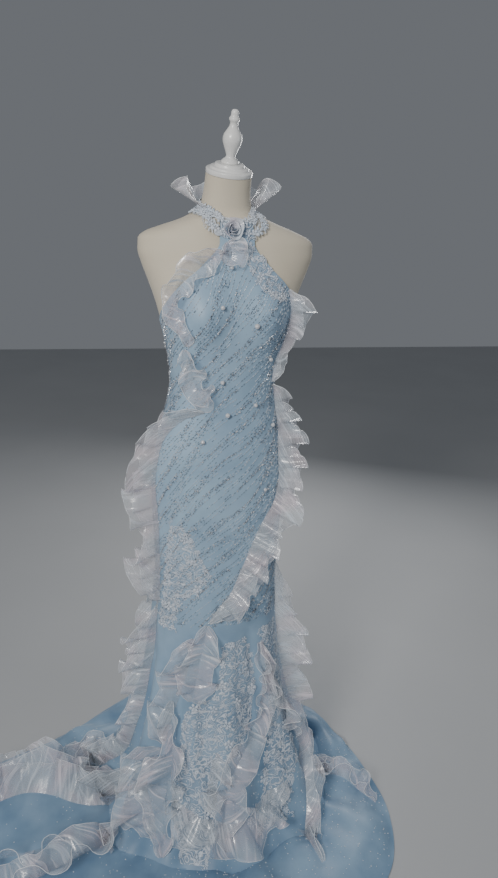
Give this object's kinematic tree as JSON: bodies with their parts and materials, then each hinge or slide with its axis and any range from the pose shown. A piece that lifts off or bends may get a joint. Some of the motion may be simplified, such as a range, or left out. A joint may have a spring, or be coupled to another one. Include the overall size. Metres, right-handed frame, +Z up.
{
  "type": "halter mermaid evening gown on a dress form",
  "caption": "Halter-neck mermaid evening gown with organza ruffles, floral lace, bead lines and a swept train, worn by a limbless dress form on a round stand.",
  "frame": {"origin": "on the floor, at the centre of the underside of the dress form's round base", "axes": "+Z up, the gown's front faces -Y, the wearer's left is +X; the train is swept to -X and -Y"},
  "size_m": [1.3568, 0.9481, 1.6181],
  "materials": {
    "satin": "soft satin with a slight sheen, sky blue",
    "organza": "sheer crisp organza, iridescent white",
    "lace": "corded floral lace, white",
    "linen": "matt woven form cover, cream",
    "white_paint": "turned wood with white satin paint",
    "white_metal": "white powder coat",
    "steel": "brushed tube",
    "pearl": "pearl lustre"
  },
  "bodies": {
    "root": {"form_torso": "linen", "neck_cap": "white_paint", "finial": "white_paint", "stand_base": "white_metal", "stand_pole": "steel", "front_panel": "satin", "back_left": "satin", "back_right": "satin", "back_placket": "satin", "tail_front": "satin", "tail_left": "satin", "tail_back_left": "satin", "tail_back_right": "satin", "train": "satin", "collar_band": "lace", "collar_ruffle": "organza", "rose_petal_1": "organza", "rose_petal_2": "organza", "rose_petal_3": "organza", "nape_button": "pearl", "ruffle_halter_right": "organza", "ruffle_waist_right": "organza", "collar_jabot": "organza", "ruffle_halter_left": "organza", "ruffle_hip_left": "organza", "ruffle_hip_right": "organza", "ruffle_tail_right": "organza", "ruffle_tail_left": "organza", "ruffle_front_upper": "organza", "ruffle_front_right": "organza", "ruffle_front_left": "organza", "ruffle_train_upper": "organza", "ruffle_train_lower": "organza", "ruffle_train_left": "organza", "ruffle_back_left": "organza", "ruffle_back_right": "organza", "lace_hip_right": "lace", "lace_bodice_left": "lace", "lace_tail_front": "lace", "lace_tail_left": "lace", "lace_train": "lace", "pearl_01": "pearl", "pearl_02": "pearl", "pearl_03": "pearl", "pearl_04": "pearl", "pearl_05": "pearl", "pearl_06": "pearl", "pearl_07": "pearl", "pearl_08": "pearl", "pearl_09": "pearl", "pearl_10": "pearl"}
  },
  "joints": []
}
